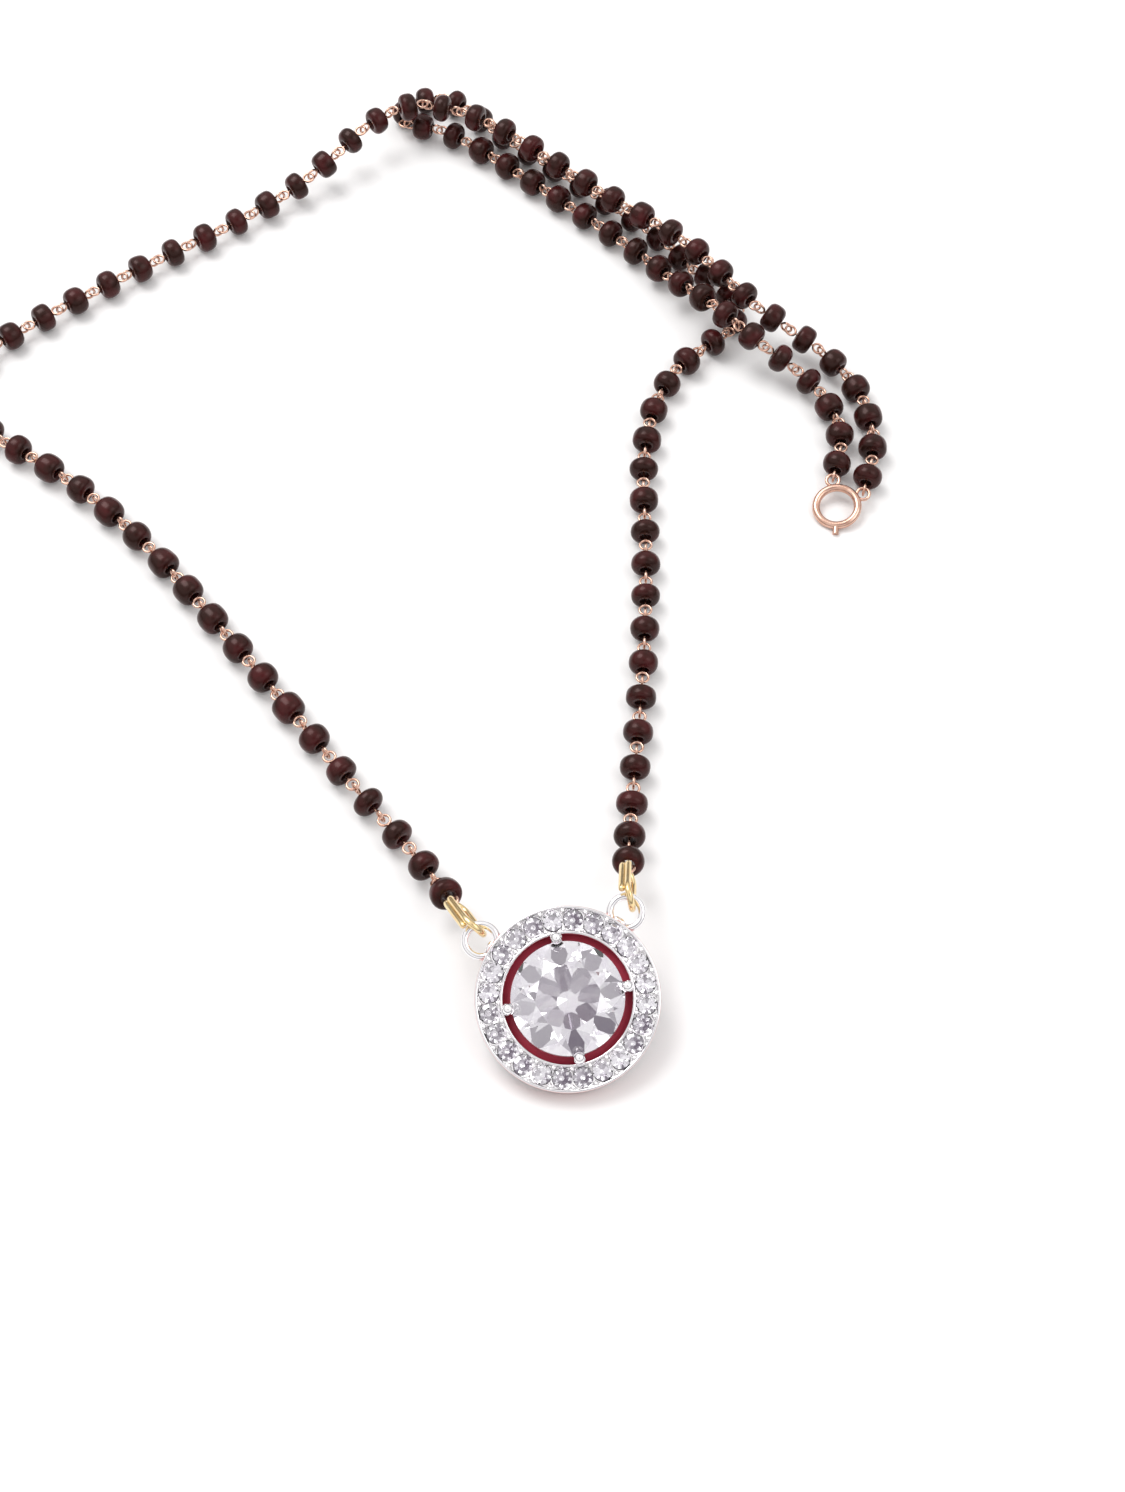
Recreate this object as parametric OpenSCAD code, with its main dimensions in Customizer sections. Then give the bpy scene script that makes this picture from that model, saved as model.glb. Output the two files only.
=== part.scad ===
// Mangalsutra lying on a flat surface: a round halo pendant on a closed chain
// of black glass beads, each bead on its own gold pin with an eye at both ends.
// Millimetres, +Z up, the surface at z = 0, origin under the middle of the piece.

/* [Beads] */
// Outer diameter of a bead
bead_d = 2.65; // [2.5:0.05:2.7]
// Mean length of a bead along its hole
bead_len = 1.82; // [1.6:0.02:1.94]
// How much longer or shorter the odd bead is
bead_vary = 0.12; // [0:0.01:0.14]
// Radius of a bead's rounded shoulders
bead_round = 0.6; // [0.3:0.05:0.65]
// Diameter of the hole through a bead
bead_hole_d = 1.06; // [1:0.02:1.3]

/* [Pins] */
// Diameter of the gold wire of the pins
pin_wire_d = 0.22; // [0.16:0.01:0.24]
// Outer diameter of the eye at each end of a pin
eye_d = 1.22; // [1.16:0.01:1.26]
// Distance from one joint of the chain to the next
joint_pitch = 3.5; // [3.4:0.05:3.8]

/* [Rows] */
// Distance between rows side by side, in bead diameters
row_gap = 1.1; // [1.06:0.01:1.3]

/* [Oval rings] */
// Outer length of the ring between the pendant and the chain
oval_len = 5.3; // [4.8:0.1:6.5]
// Outer width of that ring
oval_w = 2.6; // [2.3:0.05:3]
// Diameter of its wire
oval_wire_d = 0.54; // [0.4:0.02:0.6]
// How far the left ring is rolled about its length, from flat
left_oval_roll = 50; // [48:1:75]
// How far the right ring is rolled about its length, from flat
right_oval_roll = 64; // [62:1:75]

/* [Clasp] */
// Outer diameter of the ring clasp
clasp_d = 4.4; // [4:0.1:7]
// Diameter of the wire of the ring clasp
clasp_wire_d = 0.7; // [0.5:0.05:0.9]
// Diameter of the wire of the clasp's two end loops
clasp_loop_wire_d = 0.3; // [0.2:0.02:0.34]

/* [Pendant] */
// Outer diameter of the halo
halo_d = 14.2; // [14:0.1:18]
// Diameter of the opening inside the halo
halo_hole_d = 9.9; // [9.4:0.1:10.1]
// Height of the halo
halo_h = 1.6; // [1.4:0.1:2.4]
// Thickness of the halo's inner and outer walls
halo_wall = 0.24; // [0.2:0.01:0.26]
// Thickness of the halo's back plate
halo_back = 0.6; // [0.3:0.05:0.7]
// Turn of the pendant about its own axis
pendant_turn = 11; // [0:1:30]
// Number of small stones in the halo
halo_stone_count = 24; // [20:1:24]
// Diameter of a small stone
halo_stone_d = 1.46; // [1.2:0.02:1.48]
// Diameter of the grains that hold the small stones
grain_d = 0.34; // [0.2:0.02:0.36]

/* [Centre stone] */
// Diameter of the centre stone
stone_d = 8.7; // [8:0.1:8.8]
// Height of the stone's girdle over the back of the halo
girdle_z = 1.7; // [1.6:0.05:2.2]

/* [Basket] */
// Diameter of a prong
prong_d = 0.84; // [0.7:0.02:1]
// Diameter of a prong's ball tip
prong_tip_d = 1; // [0.9:0.02:1.2]
// Diameter of the wire of the basket's rings and struts
basket_wire_d = 0.6; // [0.4:0.05:0.7]
// Middle diameter of the ring at the foot of the basket
foot_ring_d = 2.2; // [1.6:0.1:3.2]
// Diameter of the hole in the plate that joins the basket to the halo
plate_hole_d = 7; // [6:0.1:7.6]
// Thickness of that plate
plate_h = 0.35; // [0.3:0.05:0.5]

/* [Pendant loops] */
// Outer diameter of a loop on the halo
loop_d = 3.1; // [2.9:0.05:3.8]
// Diameter of a loop's wire
loop_wire_d = 0.62; // [0.5:0.02:0.7]
// Angle of each loop from the pendant's top
loop_angle = 45; // [30:1:60]

/* [Hidden] */
$fn = 96;
wire_facets = 48;
clear_gap = 0.1;
cut_over = 1;

// Places of the pendant and of the chain, with the middle of the whole piece
// among them. Each row of a route is [x, y, lift], with lift the height over a
// bead that lies on the surface, in bead diameters.
middle = [2.44, 0.37];
pendant_place = [16.4, -47.2];
route_left = [
    [5.6, -35.9, 0.15], [3.6, -33.1, 0.02], [-1.1, -27.3, 0], [-10.2, -15.5, 0], [-20.4, -2.8, 0],
    [-28.7, 5, 0], [-35, 9.4, 0], [-39.4, 14.2, 0], [-38.2, 19.4, 0], [-32.4, 24.6, 0],
    [-24, 30.8, 0.01], [-16, 36.4, 0.02], [-10.2, 40.8, 0.2], [-5.6, 44.6, 0.8], [-2.4, 47.9, 1.1],
    [2.4, 50.1, 1.06]];
route_right = [
    [21.4, -32, 0.15], [22, -25.3, 0.02], [22.9, -14.7, 0], [23.3, -3.9, 0], [23.3, 6.3, 0],
    [24.4, 13.1, 0], [26.4, 17.5, 0], [29.1, 20.3, 0], [31.4, 22.1, 0], [32.6, 25, 0],
    [32, 28, 0]];
route_turn = [
    [6.9, 52, 0], [4.2, 54.05, 0], [0.4, 53.7, 0], [0.2, 50.3, 0], [4, 49.4, 0]];

// The two rows that lie side by side, as stations along the front row. The
// columns are its x and y, the front row's lift, and the back row's distance
// from it and lift, the last three in bead diameters. Over the first stations
// a third run of the chain lies under the back row.
ROW_X = 0;
ROW_Y = 1;
ROW_FRONT_LIFT = 2;
ROW_BACK_GAP = 3;
ROW_BACK_LIFT = 4;
rows = [
    [8, 46.5, 0, 0.55, 0.94],
    [12.6, 42.5, 0, 0.55, 0.94],
    [16.6, 38.9, 0, 0.55, 0.94],
    [20.4, 35.4, 0, 0.58, 0.96],
    [23.8, 32, 0.02, 0.8, 1.04],
    [26.5, 28.3, 0.3, 1.04, 1.08],
    [29.2, 24.6, 0.86, 1.06, 1.08],
    [31.7, 21.2, 1.08, 1.08, 1.08],
    [34.2, 18.9, 0.86, 1.16, 0.86],
    [36.9, 17.7, 0.3, 1.28, 0.32],
    [39.5, 15.3, 0.02, 1.24, 0.03],
    [41.1, 11.7, 0, 1.14, 0],
    [41.2, 8.4, 0, 1.1, 0],
    [40, 3.8, 0, 1.1, 0]];
third_run_stations = 6;

bead_r = bead_d / 2;
pin_r = pin_wire_d / 2;
eye_r = (eye_d - pin_wire_d) / 2;
oval_r = oval_wire_d / 2;
oval_end_r = (oval_w - oval_wire_d) / 2;
oval_straight = oval_len - oval_w;
oval_slack = 0.16;
oval_eye_r = oval_r + pin_r + oval_slack;
oval_turn_rise = oval_wire_d * 0.9;

function unit(v) = v / norm(v);
function level(lift) = bead_r + lift * bead_d;
function lifted(p) = [p[0] - middle[0], p[1] - middle[1], level(p[2])];
function row_xy(i) = [rows[i][ROW_X], rows[i][ROW_Y]] - middle;
function row_side(i) =
    let (d = unit(row_xy(min(i + 1, len(rows) - 1)) - row_xy(max(i - 1, 0)))) [-d[1], d[0]];
function beside_row(i, gap, lift) =
    let (p = row_xy(i) + row_side(i) * gap * bead_d) [p[0], p[1], level(lift)];

front_row = [for (i = [0:len(rows) - 1]) beside_row(i, 0, rows[i][ROW_FRONT_LIFT])];
back_row = [for (i = [0:len(rows) - 1]) beside_row(i, rows[i][ROW_BACK_GAP], rows[i][ROW_BACK_LIFT])];
third_run = [for (i = [third_run_stations - 1:-1:0]) beside_row(i, row_gap, 0)];

// The pendant rests on its lower rim and on the foot of its basket.
halo_r = halo_d / 2;
halo_hole_r = halo_hole_d / 2;
stone_r = stone_d / 2;
girdle_h = 0.2;
crown_z = girdle_z + girdle_h;
table_z = crown_z + 0.15 * stone_d;
culet_z = girdle_z - 0.43 * stone_d;
table_r = 0.285 * stone_d;
basket_r = basket_wire_d / 2;
foot_ring_r = foot_ring_d / 2;
foot_z = culet_z + 0.05;
foot_reach = halo_r - foot_ring_r;
pendant_tilt = atan2(-foot_z, foot_reach) + asin(basket_r / norm([foot_z, foot_reach]));
pendant_z = halo_r * sin(pendant_tilt);
pendant_xy = pendant_place - middle;
prong_bite = 0.08;
prong_place_r = halo_hole_r - prong_d / 2 + prong_bite;
prong_lap = 0.21;
prong_tip_place_r = stone_r + prong_tip_d / 2 - prong_lap;
prong_top_z = girdle_z + 0.3;
prong_tip_z = girdle_z + 0.42;
strut_top_z = 0.3;
gallery_z = girdle_z - 0.55;
gallery_r = prong_place_r - prong_d / 2;
gallery_share = 0.75;
strut_share = 0.9;
plate_z = 0.15;
loop_r = (loop_d - loop_wire_d) / 2;
loop_place_r = halo_r + loop_r - loop_wire_d / 2;
stone_place_r = (halo_r + halo_hole_r) / 2;
stone_seat_z = halo_h - 0.15;
grain_bite = 0.04;
grain_rise = 0.08;

// A point of the pendant's own frame in the frame of the whole piece.
function in_pendant(p) =
    let (a = pendant_turn,
        q = [p[0] * cos(a) - p[1] * sin(a), p[0] * sin(a) + p[1] * cos(a), p[2]],
        t = pendant_tilt)
    [pendant_xy[0] + q[0], pendant_xy[1] + q[1] * cos(t) - q[2] * sin(t),
        pendant_z + q[1] * sin(t) + q[2] * cos(t)];
function loop_centre(side) =
    in_pendant([loop_place_r * cos(90 + side * loop_angle), loop_place_r * sin(90 + side * loop_angle),
        halo_h / 2]);

// An oval ring runs from inside its loop towards the first bead of its strand,
// with the loop's wire in the middle of its round end.
oval_reach = oval_len - oval_wire_d;
pendant_up = in_pendant([0, 0, 1]) - in_pendant([0, 0, 0]);
function oval_aim(side) = lifted(side > 0 ? route_left[0] : route_right[0]);
function in_loop_plane(v) = unit(v - pendant_up * (v * pendant_up));
function held_wire(side) =
    let (c = loop_centre(side)) c + in_loop_plane(oval_aim(side) - c) * loop_r;
function oval_inner(side) =
    let (w = held_wire(side)) w - unit(oval_aim(side) - w) * oval_end_r;
function oval_outer(side) = oval_inner(side) + unit(oval_aim(side) - oval_inner(side)) * oval_reach;

// A smooth curve through a route's points, as close points along it.
smooth_steps = 14;
function smooth_at(a, b, c, d, t) =
    0.5 * (2 * b + (c - a) * t + (2 * a - 5 * b + 4 * c - d) * t * t + (3 * b - a - 3 * c + d) * t * t * t);
function smooth(p) =
    let (n = len(p), q = concat([2 * p[0] - p[1]], p, [2 * p[n - 1] - p[n - 2]]))
    concat([for (i = [0:n - 2]) for (k = [0:smooth_steps - 1])
        smooth_at(q[i], q[i + 1], q[i + 2], q[i + 3], k / smooth_steps)],
        [p[n - 1], p[n - 1] + unit(p[n - 1] - p[n - 2]) * 2 * joint_pitch]);
function run_length(c, i = 0, sum = 0) =
    i >= len(c) - 2 ? sum : run_length(c, i + 1, sum + norm(c[i + 1] - c[i]));

// Joints along a curve, each a straight chord from the one before. The pins lie
// flat and on edge by turns: a flat pin's chord ends at the middle of its eyes,
// and the chord of one on edge at the far side of its eyes. The pins next to the
// pendant, where the chain is drawn out, are longer by the strand's taut share.
taut_pins = 16;
left_taut = 1.09;
right_taut = 1.02;
function chord(k, pitch, taut) =
    (k < taut_pins ? taut : 1) * pitch + (k % 2 == 0 ? -eye_r : eye_r);
function past(c, i, p, r) = i >= len(c) - 2 || norm(c[i + 1] - p) >= r ? i : past(c, i + 1, p, r);
function on_line(a, b, p, r) =
    let (d = b - a, f = a - p, m = d * d, h = (f * d) / m, w = (f * f - r * r) / m)
    a + d * (-h + sqrt(max(0, h * h - w)));
function joints(c, count, pitch, taut, k = 0, i = 0, found = []) =
    let (p = k == 0 ? c[0] : found[k - 1])
    k > count ? found :
    k == 0 ? joints(c, count, pitch, taut, 1, 0, [p]) :
    let (r = chord(k - 1, pitch, taut), j = past(c, i, p, r))
    joints(c, count, pitch, taut, k + 1, j, concat(found, [on_line(c[j], c[j + 1], p, r)]));

// The pitch is fitted so that the last joint falls on the end of the route.
fit_tries = 3;
first_share = 0.998;
function end_miss(c, last) =
    let (n = len(c), d = unit(c[n - 1] - c[n - 2])) (last - c[n - 2]) * d;
function fitted(c, count, pitch, taut, tries) =
    tries == 0 ? pitch :
    let (run = joints(c, count, pitch, taut), miss = end_miss(c, run[count]))
    fitted(c, count, pitch - miss / count, taut, tries - 1);
function strand(points, taut) =
    let (c = smooth(points), extra = taut_pins * (taut - 1),
        count = 2 * round((run_length(c) / joint_pitch - extra) / 2),
        pitch = fitted(c, count, run_length(c) / (count + extra) * first_share, taut, fit_tries))
    joints(c, count, pitch, taut);

joints_left = strand(concat([oval_outer(1)], [for (p = route_left) lifted(p)], back_row),
    left_taut);
joints_right = strand(concat([oval_outer(-1)], [for (p = route_right) lifted(p)], third_run,
    [for (p = route_turn) lifted(p)], front_row), right_taut);

// Length of bead k, a little different from its neighbours.
vary_step = 137.5;
function bead_length(k) = bead_len + bead_vary * sin(vary_step * k);

// Places what is drawn along X between two joints, with its Y axis level.
module between(a, b) {
    d = b - a;
    translate((a + b) / 2)
        rotate([0, -atan2(d[2], norm([d[0], d[1]])), atan2(d[1], d[0])])
            children();
}

module ring(middle_r, wire_r) {
    rotate_extrude()
        translate([middle_r, 0])
            circle(wire_r, $fn = wire_facets);
}

// A drilled bead with rounded shoulders, its hole along X.
module bead(length) {
    half = length / 2;
    rotate([0, 90, 0])
        difference() {
            rotate_extrude() {
                translate([0, -half])
                    square([bead_r - bead_round, length]);
                translate([0, bead_round - half])
                    square([bead_r, length - 2 * bead_round]);
                for (end = [-1, 1])
                    translate([bead_r - bead_round, end * (half - bead_round)])
                        circle(bead_round, $fn = wire_facets);
            }
            translate([0, 0, -half - cut_over])
                cylinder(r = bead_hole_d / 2, h = length + 2 * cut_over);
        }
}

// A pin along X: a straight wire with an eye at each end, the wire a little
// thinner than the eyes. The first eye may be larger and rolled, where it holds
// an oval ring.
rod_share = 0.9;
module pin(span, first_r, first_roll) {
    translate([-span / 2, 0, 0])
        rotate([first_roll, 0, 0])
            ring(first_r, pin_r);
    translate([span / 2, 0, 0])
        ring(eye_r, pin_r);
    translate([first_r - span / 2, 0, 0])
        rotate([0, 90, 0])
            cylinder(r = pin_r * rod_share, h = span - eye_r - first_r, $fn = wire_facets);
}

module beads(run) {
    for (k = [0:len(run) - 2])
        between(run[k], run[k + 1])
            bead(bead_length(k));
}

module pins(run, first_roll) {
    for (k = [0:len(run) - 2])
        between(run[k], run[k + 1])
            rotate([k % 2 * 90, 0, 0])
                pin(norm(run[k + 1] - run[k]) - (k % 2) * 2 * eye_r,
                    k == 0 ? oval_eye_r : eye_r, k == 0 ? first_roll : 0);
}

// A long ring of round wire whose near side is doubled by its last half turn.
module oval_ring(side, roll) {
    between(oval_inner(side), oval_outer(side))
        rotate([roll, 0, 0]) {
            for (end = [0, 180])
                rotate([0, 0, end])
                    translate([oval_straight / 2, 0, 0])
                        rotate([0, 0, -90])
                            rotate_extrude(angle = 180)
                                translate([oval_end_r, 0])
                                    circle(oval_r, $fn = wire_facets);
            for (y = [-1, 1])
                translate([-oval_straight / 2, y * oval_end_r, 0])
                    rotate([0, 90, 0])
                        cylinder(r = oval_r, h = oval_straight, $fn = wire_facets);
            translate([-oval_straight / 2, oval_end_r, oval_turn_rise])
                rotate([0, 90, 0])
                    cylinder(r = oval_r, h = oval_straight, $fn = wire_facets);
            for (x = [-1, 1])
                translate([x * oval_straight / 2, oval_end_r, oval_turn_rise])
                    sphere(oval_r, $fn = wire_facets);
        }
}

// The clasp hangs between the ends of the two rows and droops to the surface.
clasp_slack = 0.02;
thumb_turn = -65;
thumb_share = 0.8;
thumb_len = 0.85;
module clasp() {
    a = joints_right[len(joints_right) - 1];
    b = joints_left[len(joints_left) - 1];
    half = norm(b - a) / 2;
    wire_r = clasp_wire_d / 2;
    ring_r = clasp_d / 2 - wire_r;
    small_wire_r = clasp_loop_wire_d / 2;
    small_r = eye_r + small_wire_r - pin_r + clasp_slack;
    reach = ring_r + wire_r + small_r - small_wire_r;
    drop = sqrt(max(0, reach * reach - half * half));
    droop = asin(((a[2] + b[2]) / 2 - wire_r) / (drop + ring_r));
    color("goldenrod")
        between(a, b)
            rotate([droop, 0, 0]) {
                translate([0, -drop, 0]) {
                    ring(ring_r, wire_r);
                    rotate([0, 0, thumb_turn])
                        translate([ring_r, 0, 0])
                            rotate([0, 90, 0])
                                cylinder(r = wire_r * thumb_share, h = thumb_len, $fn = wire_facets);
                }
                for (end = [-1, 1])
                    translate([end * half, 0, 0])
                        ring(small_r, small_wire_r);
            }
}

// The outline of the centre stone with some room round it, to clear the metal.
module stone_room(room) {
    rotate_extrude()
        polygon([[0, culet_z - room * 1.5], [stone_r + room, girdle_z - room / 2],
            [stone_r + room, crown_z + room / 2], [table_r + room / 2, table_z + room],
            [0, table_z + room]]);
}

module in_pendant_frame() {
    translate([pendant_xy[0], pendant_xy[1], pendant_z])
        rotate([pendant_tilt, 0, 0])
            rotate([0, 0, pendant_turn])
                children();
}

module halo() {
    difference() {
        cylinder(r = halo_r, h = halo_h);
        translate([0, 0, -cut_over])
            cylinder(r = halo_hole_r, h = halo_h + 2 * cut_over);
        translate([0, 0, halo_back])
            difference() {
                cylinder(r = halo_r - halo_wall, h = halo_h);
                translate([0, 0, -cut_over])
                    cylinder(r = halo_hole_r + halo_wall, h = halo_h + 2 * cut_over);
            }
    }
    grain_reach = (halo_r - halo_hole_r) / 2 - halo_wall - grain_d / 2 + grain_bite;
    for (k = [0:halo_stone_count - 1])
        rotate([0, 0, (k + 0.5) * 360 / halo_stone_count])
            for (side = [-1, 1])
                translate([stone_place_r + side * grain_reach, 0, halo_back / 2])
                    cylinder(r = grain_d / 2, h = halo_h + grain_rise - halo_back / 2, $fn = wire_facets);
}

module basket() {
    for (k = [0:3])
        rotate([0, 0, 90 * k]) {
            translate([prong_place_r, 0, 0])
                cylinder(r = prong_d / 2, h = prong_top_z, $fn = wire_facets);
            translate([prong_tip_place_r, 0, prong_tip_z])
                sphere(prong_tip_d / 2, $fn = wire_facets);
            strut_run = prong_place_r - foot_ring_r;
            strut_rise = strut_top_z - foot_z;
            strut_len = norm([strut_run, strut_rise]);
            translate([foot_ring_r, 0, foot_z])
                rotate([0, atan2(strut_run, strut_rise), 0])
                    cylinder(r = basket_r * strut_share, h = strut_len, $fn = wire_facets);
        }
    translate([0, 0, foot_z])
        ring(foot_ring_r, basket_r);
    translate([0, 0, gallery_z])
        ring(gallery_r, basket_r * gallery_share);
    translate([0, 0, plate_z])
        difference() {
            cylinder(r = halo_hole_r + prong_bite, h = plate_h);
            translate([0, 0, -cut_over])
                cylinder(r = plate_hole_d / 2, h = plate_h + 2 * cut_over);
        }
}

module pendant_frame() {
    color("silver")
        in_pendant_frame() {
            difference() {
                union() {
                    halo();
                    basket();
                }
                stone_room(clear_gap);
            }
            for (side = [-1, 1])
                rotate([0, 0, 90 + side * loop_angle])
                    translate([loop_place_r, 0, halo_h / 2])
                        ring(loop_r, loop_wire_d / 2);
        }
}

// A round brilliant: table, eight stars, eight kites, sixteen upper and sixteen
// lower facets and eight mains, as the hull of its corners.
module centre_stone() {
    kite_r = 0.395 * stone_d;
    kite_z = crown_z + 0.085 * stone_d;
    lower_r = 0.11 * stone_d;
    lower_z = culet_z + 0.092 * stone_d;
    corners = concat(
        [for (k = [0:7]) [table_r * cos(45 * k), table_r * sin(45 * k), table_z]],
        [for (k = [0:7]) [kite_r * cos(45 * k + 22.5), kite_r * sin(45 * k + 22.5), kite_z]],
        [for (k = [0:15]) [stone_r * cos(22.5 * k), stone_r * sin(22.5 * k), crown_z]],
        [for (k = [0:15]) [stone_r * cos(22.5 * k), stone_r * sin(22.5 * k), girdle_z]],
        [for (k = [0:7]) [lower_r * cos(45 * k + 22.5), lower_r * sin(45 * k + 22.5), lower_z]],
        [[0, 0, culet_z]]);
    color("white")
        in_pendant_frame()
            hull()
                polyhedron(corners, [for (k = [0:len(corners) - 3]) [k, k + 1, k + 2]]);
}

// A small stone: a table, eight facets over its girdle and eight under it.
module small_stone() {
    r = halo_stone_d / 2;
    n = 8;
    small_table_r = 0.58 * r;
    small_crown = 0.3 * r;
    small_depth = 0.86 * r;
    corners = concat(
        [for (k = [0:n - 1]) [small_table_r * cos(45 * k), small_table_r * sin(45 * k), small_crown]],
        [for (k = [0:n - 1]) [r * cos(45 * k), r * sin(45 * k), 0]],
        [[0, 0, -small_depth]]);
    faces = concat(
        [[for (k = [0:n - 1]) n - 1 - k]],
        [for (k = [0:n - 1]) [k, (k + 1) % n, n + (k + 1) % n, n + k]],
        [for (k = [0:n - 1]) [n + k, n + (k + 1) % n, 2 * n]]);
    polyhedron(corners, faces);
}

module halo_stones() {
    color("gainsboro")
        in_pendant_frame()
            for (k = [0:halo_stone_count - 1])
                rotate([0, 0, k * 360 / halo_stone_count])
                    translate([stone_place_r, 0, stone_seat_z])
                        small_stone();
}

module oval_ring_left() {
    color("gold")
        oval_ring(1, left_oval_roll);
}

module oval_ring_right() {
    color("gold")
        oval_ring(-1, right_oval_roll);
}

module beads_left() {
    color("black")
        beads(joints_left);
}

module beads_right() {
    color("black")
        beads(joints_right);
}

module pins_left() {
    color("burlywood")
        pins(joints_left, left_oval_roll + 90);
}

module pins_right() {
    color("burlywood")
        pins(joints_right, right_oval_roll + 90);
}

pendant_frame();
centre_stone();
halo_stones();
oval_ring_left();
oval_ring_right();
clasp();
beads_left();
beads_right();
pins_left();
pins_right();
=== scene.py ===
"""The look of a mangalsutra that lies on a pale surface.

The pendant's metal and stones, the oval rings and the glass beads are modelled
here over their solids. The pins and the clasp keep their solids and get their
finish. Everything is in metres in the frame of the part.
"""

import logging
import math
from collections.abc import Sequence
from dataclasses import dataclass, field
from enum import Enum

import bmesh
import bpy
import numpy as np
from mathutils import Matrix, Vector


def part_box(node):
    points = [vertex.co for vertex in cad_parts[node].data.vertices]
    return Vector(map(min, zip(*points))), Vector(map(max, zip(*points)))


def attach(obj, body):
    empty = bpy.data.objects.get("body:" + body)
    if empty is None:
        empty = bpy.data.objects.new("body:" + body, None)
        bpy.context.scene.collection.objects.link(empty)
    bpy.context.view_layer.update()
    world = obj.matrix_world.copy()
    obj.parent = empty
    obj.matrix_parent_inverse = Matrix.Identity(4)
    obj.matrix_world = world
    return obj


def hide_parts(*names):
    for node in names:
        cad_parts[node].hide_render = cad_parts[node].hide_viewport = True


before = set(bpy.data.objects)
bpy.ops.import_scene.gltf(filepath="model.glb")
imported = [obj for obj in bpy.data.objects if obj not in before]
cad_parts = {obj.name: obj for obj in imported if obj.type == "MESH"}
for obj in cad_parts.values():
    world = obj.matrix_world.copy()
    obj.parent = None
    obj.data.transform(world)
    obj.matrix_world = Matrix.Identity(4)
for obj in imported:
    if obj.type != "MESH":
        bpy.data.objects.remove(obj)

log = logging.getLogger("mangalsutra")
Array = np.ndarray
Triple = tuple[float, float, float]
Faces = list[tuple[int, ...]]
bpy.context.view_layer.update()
MM = 0.001
TAU = 2 * math.pi


class Side(Enum):
    """The two strands of the chain, named by the pendant's loop they hang on."""

    LEFT = "left"
    RIGHT = "right"


class Slot(Enum):
    """The record's material slots."""

    SILVER = "silver"
    GOLD = "gold"
    BLACK_GLASS = "black_glass"
    CLEAR_STONE = "clear_stone"


@dataclass
class Surface:
    """Points in metres and the faces between them."""

    points: Array
    faces: Faces

    def placed(self, axes: Array, origin: Array) -> "Surface":
        """The surface with its X, Y and Z turned to the unit rows of axes, set at origin."""
        return Surface(self.points @ axes + origin, self.faces)

    def moved(self, x: float, y: float, z: float) -> "Surface":
        """The surface moved without a turn."""
        return Surface(self.points + [x, y, z], self.faces)

    def turned(self, turn: float) -> "Surface":
        """The surface turned about Z by an angle in radians."""
        c, s = math.cos(turn), math.sin(turn)
        return Surface(self.points @ np.array([[c, s, 0], [-s, c, 0], [0, 0, 1]]), self.faces)


def joined(parts: Sequence[Surface]) -> Surface:
    """Several surfaces as one, each still closed by itself."""
    faces: Faces = []
    start = 0
    for part in parts:
        faces.extend(tuple(corner + start for corner in face) for face in part.faces)
        start += len(part.points)
    return Surface(np.concatenate([part.points for part in parts]), faces)


def grid_faces(rows: int, columns: int, closed_rows: bool = True) -> Faces:
    """Four-sided faces of a grid whose columns close on themselves.

    Args:
        rows: Points along the first parameter.
        columns: Points round the second parameter.
        closed_rows: Whether the last row joins the first, as on a torus.

    Returns:
        The faces, wound so that they face outwards when the columns turn
        anticlockwise seen from the end of the rows.
    """
    last = rows if closed_rows else rows - 1
    row, column = np.meshgrid(np.arange(last), np.arange(columns), indexing="ij")
    next_row = (row + 1) % rows
    next_column = (column + 1) % columns
    corners = np.stack([row * columns + column, row * columns + next_column,
                        next_row * columns + next_column, next_row * columns + column], axis=-1)
    return [tuple(face) for face in corners.reshape(-1, 4).tolist()]


def ring(middle_r: float, wire_r: float, around: int = 48, across: int = 12) -> Surface:
    """A ring of round wire about Z.

    A point is at (R + r cos b) cos a, (R + r cos b) sin a, r sin b, with a round
    the ring and b round its wire.

    Args:
        middle_r: Radius R of the ring's centre line.
        wire_r: Radius r of the wire.
        around: Points round the ring.
        across: Points round the wire.
    """
    a, b = np.meshgrid(np.linspace(0, TAU, around, endpoint=False),
                       np.linspace(0, TAU, across, endpoint=False), indexing="ij")
    reach = middle_r + wire_r * np.cos(b)
    points = np.stack([reach * np.cos(a), reach * np.sin(a), wire_r * np.sin(b)], axis=-1)
    return Surface(points.reshape(-1, 3), grid_faces(around, across))


def tube(path: Array, radii: Array, across: int = 16, side: Sequence[float] = (0, 1, 0)) -> Surface:
    """Round wire of changing thickness along a path that never runs along its side vector.

    With out the path's direction crossed with the side vector, and over out
    crossed with the direction, each ring of points is the path's point plus
    r times (out cos b + over sin b).

    Args:
        path: Points of the centre line.
        radii: The wire's radius at each point.
        across: Points round the wire.
        side: The side vector.
    """
    along = np.gradient(path, axis=0)
    along /= np.linalg.norm(along, axis=1, keepdims=True)
    out = np.cross(along, side)
    out /= np.linalg.norm(out, axis=1, keepdims=True)
    over = np.cross(out, along)
    b = np.linspace(0, TAU, across, endpoint=False)[None, :, None]
    circles = np.cos(b) * out[:, None] + np.sin(b) * over[:, None]
    rings = path[:, None] + radii[:, None, None] * circles
    count = len(path)
    faces = grid_faces(count, across, closed_rows=False)
    faces.append(tuple(reversed(range(across))))
    faces.append(tuple(range((count - 1) * across, count * across)))
    return Surface(rings.reshape(-1, 3), faces)


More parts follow.
